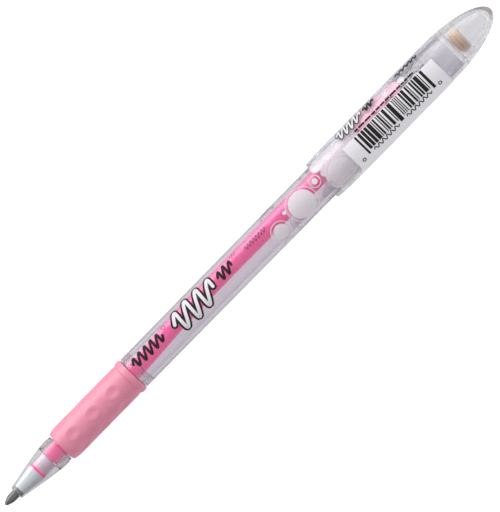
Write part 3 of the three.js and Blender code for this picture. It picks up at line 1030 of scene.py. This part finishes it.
def thicken(bm, thickness):
    """Gives a flat pattern a top and sides."""
    rim = [edge for edge in bm.edges if edge.is_boundary]
    flat = list(bm.faces)
    above = {v: bm.verts.new((v.co.x, v.co.y, thickness)) for v in list(bm.verts)}
    for face in flat:
        bm.faces.new([above[v] for v in face.verts])
    for edge in rim:
        a, b = edge.verts
        bm.faces.new((a, b, above[b], above[a]))


def film_piece(name, bm, radius_at, lift, body, material, thickness=FILM, nodes=()):
    """Thickens a flat pattern drawn in (x, length round the pen) and wraps it on the pen."""
    bmesh.ops.remove_doubles(bm, verts=bm.verts, dist=1e-5)
    thicken(bm, thickness)
    for v in bm.verts:
        radius = radius_at(v.co.x)
        angle = v.co.y / radius
        high = radius + lift + v.co.z
        v.co = Vector((v.co.x, high * math.sin(angle), high * math.cos(angle)))
    add_piece(name, bm, body, material, nodes)


def disc(bm, x, y, radius, hole=0.0):
    """A disc, or a ring when it has a hole."""
    around = max(DISC_LEAST, int(radius * DISC_FACETS))
    grid = []
    for i in range(0 if hole else 1, DISC_RINGS + 1):
        rr = hole + (radius - hole) * i / DISC_RINGS
        grid.append([
            bm.verts.new((x + rr * math.cos(TAU * k / around), y + rr * math.sin(TAU * k / around), 0))
            for k in range(around)
        ])
    for a, b in zip(grid, grid[1:]):
        for k in range(around):
            n = (k + 1) % around
            bm.faces.new((a[k], b[k], b[n], a[n]))
    if not hole:
        centre = bm.verts.new((x, y, 0))
        for k in range(around):
            bm.faces.new((centre, grid[0][k], grid[0][(k + 1) % around]))


def arc(bm, x, y, radius, width, start, sweep):
    """Part of a ring with pointed ends."""
    steps = max(8, int(abs(sweep) * radius * 6))
    inner, outer = [], []
    for i in range(steps + 1):
        t = i / steps
        a = start + sweep * t
        w = width * max(0.08, math.sin(math.pi * t)) / 2
        inner.append(bm.verts.new((x + (radius - w) * math.cos(a), y + (radius - w) * math.sin(a), 0)))
        outer.append(bm.verts.new((x + (radius + w) * math.cos(a), y + (radius + w) * math.sin(a), 0)))
    for i in range(steps):
        bm.faces.new((inner[i], outer[i], outer[i + 1], inner[i + 1]))


def round_end(bm, tip, inward, half, a, b):
    """Half a disc at a line's tip, between its side vertices a and b."""
    out = (Vector(tip) - Vector(inward)).normalized()
    side = Vector((-out.y, out.x))
    fan = [b]
    for t in angles(math.pi, LINE_END_STEPS)[1:-1]:
        p = Vector(tip) + half * (side * math.cos(t) + out * math.sin(t))
        fan.append(bm.verts.new((*p, 0)))
    fan.append(a)
    bm.faces.new(fan)


def stroke(bm, path, width):
    """A line of even width with round ends."""
    half = width / 2
    left, right = [], []
    for i, p in enumerate(path):
        before = Vector(path[max(i - 1, 0)])
        after = Vector(path[min(i + 1, len(path) - 1)])
        along = (after - before).normalized()
        side = Vector((-along.y, along.x)) * half
        here = Vector(p)
        left.append(bm.verts.new((*(here + side), 0)))
        right.append(bm.verts.new((*(here - side), 0)))
    for i in range(len(path) - 1):
        bm.faces.new((left[i], right[i], right[i + 1], left[i + 1]))
    round_end(bm, path[0], path[1], half, left[0], right[0])
    round_end(bm, path[-1], path[-2], half, right[-1], left[-1])


def strip(bm, x0, x1, y0, y1, step=CROSS_STEP, wave=0.0, turns=0):
    """A rectangle with enough cross lines to wrap round the pen. Its ends can be wavy."""
    previous = None
    for y in stations(y0, y1, step):
        swing = wave * math.sin(TAU * turns * (y - y0) / (y1 - y0))
        pair = (bm.verts.new((x0 + swing, y, 0)), bm.verts.new((x1 + swing, y, 0)))
        if previous:
            bm.faces.new((previous[0], previous[1], pair[1], pair[0]))
        previous = pair


def wave_path(x0, x1, middle, height, turns, lean):
    """A sine wave along the pen about a middle line. It leans, and is highest half way."""
    path = []
    for i in range(WAVE_STEPS + 1):
        t = i / WAVE_STEPS
        swing = math.sin(TAU * turns * t)
        swell = 0.75 + 0.25 * math.sin(math.pi * t)
        path.append((x0 + (x1 - x0) * t + lean * swing, middle + height * swell * swing))
    return path


def barrel_film(name, bm, material, lift=FILM_LIFT, thickness=FILM):
    film_piece(name, bm, barrel_radius, lift, "barrel", material, thickness)


def build_barrel_print():
    """Plain decoration: a white ribbon with a black edge between black ripples and small marks."""
    ribbon = wave_path(*RIBBON)
    black = bmesh.new()
    stroke(black, ribbon, RIBBON_WIDTHS[0])
    barrel_film("ribbon_edge", black, BLACK_PRINT)
    white = bmesh.new()
    stroke(white, ribbon, RIBBON_WIDTHS[1])
    barrel_film("ribbon_fill", white, WHITE_PRINT, FILM_LIFT + 1.5 * FILM)
    ripples = bmesh.new()
    for wave, width in RIPPLES:
        stroke(ripples, wave_path(*wave), width)
    barrel_film("black_ripples", ripples, BLACK_PRINT)
    small = bmesh.new()
    disc(small, *SMALL_RING)
    for wave, width in SMALL_RIPPLES:
        stroke(small, wave_path(*wave), width)
    barrel_film("small_ripples", small, GREY_PRINT)


def bubble(discs, rings, x, y, radius, ringed):
    disc(discs, x, y, radius)
    if ringed:
        disc(rings, x, y, radius + BUBBLE_RING[0], radius + BUBBLE_RING[1])
        arc(rings, x, y, radius + GLINT_OUT, GLINT_WIDTH, GLINT_START, GLINT_SWEEP)


def spread_bubbles(placed, girth):
    """Random bubbles all round the pen, clear of those placed and of the ink that shows."""
    rng = random.Random(7)
    for size, wanted in SPREAD_BUBBLES:
        made = 0
        tries = 0
        while made < wanted and tries < wanted * SPREAD_TRIES:
            tries += 1
            x = rng.uniform(SPREAD_START, SPREAD_END)
            y = rng.uniform(-girth / 2, girth / 2)
            radius = size * rng.uniform(0.85, 1.15)
            over_ink = abs(y) < INK_WINDOW and x < INK_WINDOW_END
            crowded = any(
                math.hypot(x - px, (y - py + girth / 2) % girth - girth / 2) < radius + pr + SPREAD_GAP
                for px, py, pr, _ in placed
            )
            if not crowded and not over_ink:
                placed.append((x, y, radius, radius > RINGED_FROM))
                made += 1


def build_bubbles():
    """White bubbles printed all round the barrel's rear half, a pale band and pink bubbles."""
    girth = TAU * BARREL_SPAN[2]
    placed = list(FRONT_BUBBLES)
    spread_bubbles(placed, girth)
    discs = bmesh.new()
    rings = bmesh.new()
    for x, y, radius, ringed in placed:
        bubble(discs, rings, x, y, radius, ringed)
    haze = bmesh.new()
    side = HAZE_SHARE * girth
    strip(haze, HAZE_START, HAZE_END, -side, side, CROSS_STEP, HAZE_WAVE, HAZE_TURNS)
    barrel_film("pearl_haze", haze, HAZE_PRINT, FILM_LIFT, 0.5 * FILM)
    pink = bmesh.new()
    for x, y, radius in PINK_BUBBLES:
        disc(pink, x, y, radius)
    barrel_film("pink_bubbles", pink, PINK_PRINT, FILM_LIFT + FILM)
    barrel_film("bubble_discs", discs, BUBBLE_PRINT)
    barrel_film("bubble_rings", rings, BUBBLE_PRINT)


def draw_bars(bm, rng, first, last, top):
    """A row of random bars, longer at both ends and in the middle. It codes nothing."""
    middle = (first + last) / 2
    x = first
    while x < last:
        width = BAR_MODULE * rng.choice(BAR_WIDTHS)
        gap = BAR_MODULE * rng.choice(BAR_GAPS)
        near_end = x < first + LONG_NEAR_START or x > last - LONG_NEAR_END
        near_middle = abs(x - middle) < LONG_NEAR_MIDDLE
        length = LONG_BAR_LENGTH if near_end or near_middle else BAR_LENGTH
        strip(bm, x, min(x + width, last), top - length, top - BAR_TOP_GAP, LABEL_STEP)
        x += width + gap


def draw_dashes(bm, rng, first, last, y):
    x = first
    while x < last:
        length = rng.uniform(*DASH_LENGTHS)
        stroke(bm, [(x, y), (x + length, y)], DASH_WIDTH)
        x += length + DASH_GAP


def build_label():
    start, end, radius = span("cap_label")
    turns = [math.atan2(p.y, p.z) for p in points_of("cap_label")]
    inner = radius - 0.1
    low, top = min(turns) * inner, max(turns) * inner

    def label_layer(name, bm, material, lift, thickness=FILM, nodes=()):
        film_piece(name, bm, lambda x: inner, lift, "cap", material, thickness, nodes)

    sheet = bmesh.new()
    strip(sheet, start, end, low, top, LABEL_STEP)
    label_layer("label_film", sheet, LABEL_FILM, -LABEL_THICK, LABEL_THICK, ["cap_label"])

    bars = bmesh.new()
    rng = random.Random(21)
    first = start + LABEL_MARGIN
    last = end - LABEL_MARGIN
    middle = (first + last) / 2
    draw_bars(bars, rng, first, last, top)
    for x in (start + 1.8, end - 2.4):
        disc(bars, x, top - 5.5, *DIGIT_RING)
    for x0, x1 in ((first + 1.6, middle - 1.3), (middle + 1.3, last - 1.6)):
        stroke(bars, wave_path(x0, x1, top - 5.45, *DIGIT_RIPPLE), DIGIT_WIDTH)
    label_layer("label_bars", bars, BLACK_PRINT, BARS_LIFT)

    marks = bmesh.new()
    draw_dashes(marks, rng, start + 4.8, end - 5.0, top + DASHES_UP)
    stroke(marks, wave_path(start + 9.3, start + 12.4, top + 3.6, 0.9, 2.5, 0.2), 0.5)
    stroke(marks, wave_path(end - 8.4, end - 1.9, top + 3.9, 0.55, 5.0, 0.1), 0.46)
    ribbon = wave_path(start + 1.0, start + 8.2, top + 3.4, 1.5, 4.5, 0.5)
    stroke(marks, ribbon, LABEL_RIBBON_WIDTHS[0])
    label_layer("label_marks", marks, BLACK_PRINT, MARKS_LIFT)
    fill = bmesh.new()
    stroke(fill, ribbon, LABEL_RIBBON_WIDTHS[1])
    label_layer("label_ribbon", fill, WHITE_PRINT, 0.0)


# ---- stage ----

VIEW_TURN = math.radians(-45.58)  # the pen runs up to the right in the picture
VIEW_HEIGHT_M = 1.9
VIEW_WIDTH_M = 0.11111
VIEW_CENTRE_M = (0.00053, -0.00014)
PEN_HEIGHT_M = 0.006
SENSOR = 36.0
TENT_SHADE = (0.2, 0.18, 0.21)
TENT_LIGHT = (0.3, 0.29, 0.31)
TENT_END = (0.8, 0.78, 0.82)
TENT_TOP = (0.78, 0.78, 0.79)
FLOOR_R_M = 3.0
FLOOR_Z_M = -0.0002
FLOOR_GLOW = 0.18
FLOOR_CAMERA_GLOW = 0.6
KEY_PLACE_M = (-0.1, 0.95, 0.32)
KEY_SIZE_M = (2.4, 0.6)
KEY_POWER = 11.0


def add_camera():
    data = bpy.data.cameras.new("camera")
    data.sensor_fit = "HORIZONTAL"
    data.sensor_width = SENSOR
    data.lens = SENSOR * (VIEW_HEIGHT_M - PEN_HEIGHT_M) / VIEW_WIDTH_M
    data.clip_start = 0.01
    camera = bpy.data.objects.new("camera", data)
    camera.location = (*VIEW_CENTRE_M, VIEW_HEIGHT_M)
    camera.rotation_euler = (0, 0, VIEW_TURN)
    bpy.context.scene.collection.objects.link(camera)
    bpy.context.scene.camera = camera


def add_floor():
    """A pale floor. What the camera sees of it is lit a little more, to a plain white."""
    bm = bmesh.new()
    bmesh.ops.create_circle(bm, cap_ends=True, radius=FLOOR_R_M, segments=96)
    mesh = bpy.data.meshes.new("floor")
    bm.to_mesh(mesh)
    bm.free()
    surface = Surface("pale_floor", Roughness=0.9, Specular_IOR_Level=0.0)
    grain = surface.noise(30.0, 2.0)
    surface.drive("Base Color", surface.ramp(grain, (0.69, 0.69, 0.7), (0.71, 0.71, 0.72)))
    path = surface.nodes.new("ShaderNodeLightPath")
    lift = surface.nodes.new("ShaderNodeMath")
    lift.operation = "MULTIPLY_ADD"
    lift.inputs[1].default_value = FLOOR_CAMERA_GLOW
    lift.inputs[2].default_value = FLOOR_GLOW
    surface.links.new(path.outputs["Is Camera Ray"], lift.inputs[0])
    surface.shader.inputs["Emission Color"].default_value = (1, 1, 1, 1)
    surface.drive("Emission Strength", lift.outputs[0])
    mesh.materials.append(surface.material)
    floor = bpy.data.objects.new("floor", mesh)
    floor.location = (0, 0, FLOOR_Z_M)
    bpy.context.scene.collection.objects.link(floor)


def add_world():
    """A soft tent: bright overhead and past the cap's end, paler on the key's side than opposite."""
    world = bpy.data.worlds.new("studio")
    bpy.context.scene.world = world
    world.use_nodes = True
    nodes, links = world.node_tree.nodes, world.node_tree.links
    place = nodes.new("ShaderNodeTexCoord")
    parts = nodes.new("ShaderNodeSeparateXYZ")
    links.new(place.outputs["Generated"], parts.inputs[0])

    def share(axis, low, high):
        node = nodes.new("ShaderNodeMapRange")
        node.interpolation_type = "SMOOTHSTEP"
        node.inputs["From Min"].default_value = low
        node.inputs["From Max"].default_value = high
        links.new(parts.outputs[axis], node.inputs["Value"])
        return node.outputs["Result"]

    def mix(factor, low, high):
        node = nodes.new("ShaderNodeMix")
        node.data_type = "RGBA"
        links.new(factor, node.inputs[0])
        for socket, value in ((node.inputs[MIX_A], low), (node.inputs[MIX_B], high)):
            if isinstance(value, tuple):
                socket.default_value = (*value, 1)
            else:
                links.new(value, socket)
        return node.outputs[MIX_RESULT]

    sides = mix(share("Y", -0.8, 0.8), TENT_SHADE, TENT_LIGHT)
    walls = mix(share("X", 0.3, 0.85), sides, TENT_END)
    tent = mix(share("Z", 0.1, 0.9), walls, TENT_TOP)
    links.new(tent, nodes["Background"].inputs["Color"])
    nodes["Background"].inputs["Strength"].default_value = 1.0


def add_key():
    """A long soft lamp at one side, aimed at the pen."""
    data = bpy.data.lights.new("key", "AREA")
    data.shape = "RECTANGLE"
    data.size, data.size_y = KEY_SIZE_M
    data.energy = KEY_POWER
    light = bpy.data.objects.new("key", data)
    light.location = KEY_PLACE_M
    light.rotation_euler = (-Vector(KEY_PLACE_M)).to_track_quat("-Z", "Y").to_euler()
    bpy.context.scene.collection.objects.link(light)


# ---- the pen and its stage ----

for build in (
    build_ball, build_point, build_holder, build_painted_ink_refraction, build_tube, build_ink, build_follower,
    build_nose, build_core, build_grip, build_barrel, build_plug,
    build_cap, build_seal, build_clip,
    build_barrel_print, build_bubbles, build_label,
):
    build()

add_camera()
add_floor()
add_world()
add_key()
bpy.context.scene.view_settings.view_transform = "Standard"
